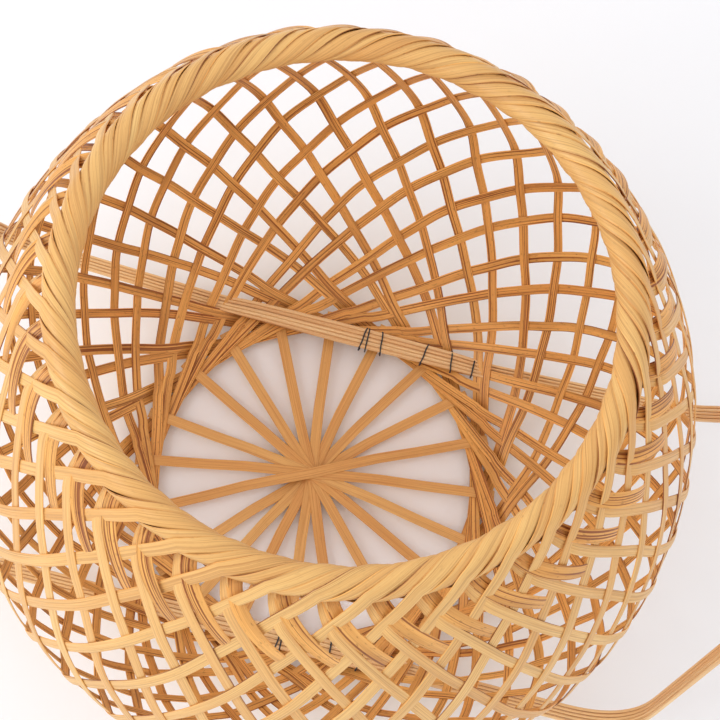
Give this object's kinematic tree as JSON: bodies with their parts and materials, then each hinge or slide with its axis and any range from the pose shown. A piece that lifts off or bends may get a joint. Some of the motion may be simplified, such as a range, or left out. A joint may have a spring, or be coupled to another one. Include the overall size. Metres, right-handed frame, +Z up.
{
  "type": "ikebana basket",
  "caption": "Round open-weave bamboo flower basket with a wound rim, crossing base spokes and a tall arched carry handle that passes through the weave.",
  "frame": {"origin": "on the table plane, under the centre of the round base hole", "axes": "+Z up, +X along the two handle bars, +Y from the front bar to the back bar"},
  "size_m": [0.3612, 0.253, 0.4262],
  "materials": {
    "strip": "satin",
    "spoke": "satin",
    "rim": "satin",
    "bar": "satin",
    "cord": "matt",
    "binding": "satin"
  },
  "bodies": {
    "root": {"strip_01": "strip", "strip_02": "strip", "strip_03": "strip", "strip_04": "strip", "strip_05": "strip", "strip_06": "strip", "strip_07": "strip", "strip_08": "strip", "strip_09": "strip", "strip_10": "strip", "strip_11": "strip", "strip_12": "strip", "strip_13": "strip", "strip_14": "strip", "strip_15": "strip", "strip_16": "strip", "strip_17": "strip", "strip_18": "strip", "strip_19": "strip", "strip_20": "strip", "strip_21": "strip", "strip_22": "strip", "strip_23": "strip", "strip_24": "strip", "strip_25": "strip", "strip_26": "strip", "strip_27": "strip", "strip_28": "strip", "strip_29": "strip", "strip_30": "strip", "strip_31": "strip", "strip_32": "strip", "strip_33": "strip", "strip_34": "strip", "strip_35": "strip", "strip_36": "strip", "strip_37": "strip", "strip_38": "strip", "strip_39": "strip", "strip_40": "strip", "spoke_01": "spoke", "spoke_02": "spoke", "spoke_03": "spoke", "spoke_04": "spoke", "spoke_05": "spoke", "spoke_06": "spoke", "spoke_07": "spoke", "spoke_08": "spoke", "spoke_09": "spoke", "spoke_10": "spoke", "rim_core": "rim", "handle_bar_back": "bar", "handle_bar_front": "bar", "lashing_back": "cord", "lashing_front": "cord", "binding_left": "binding", "binding_right": "binding", "binding_top": "binding"}
  },
  "joints": []
}
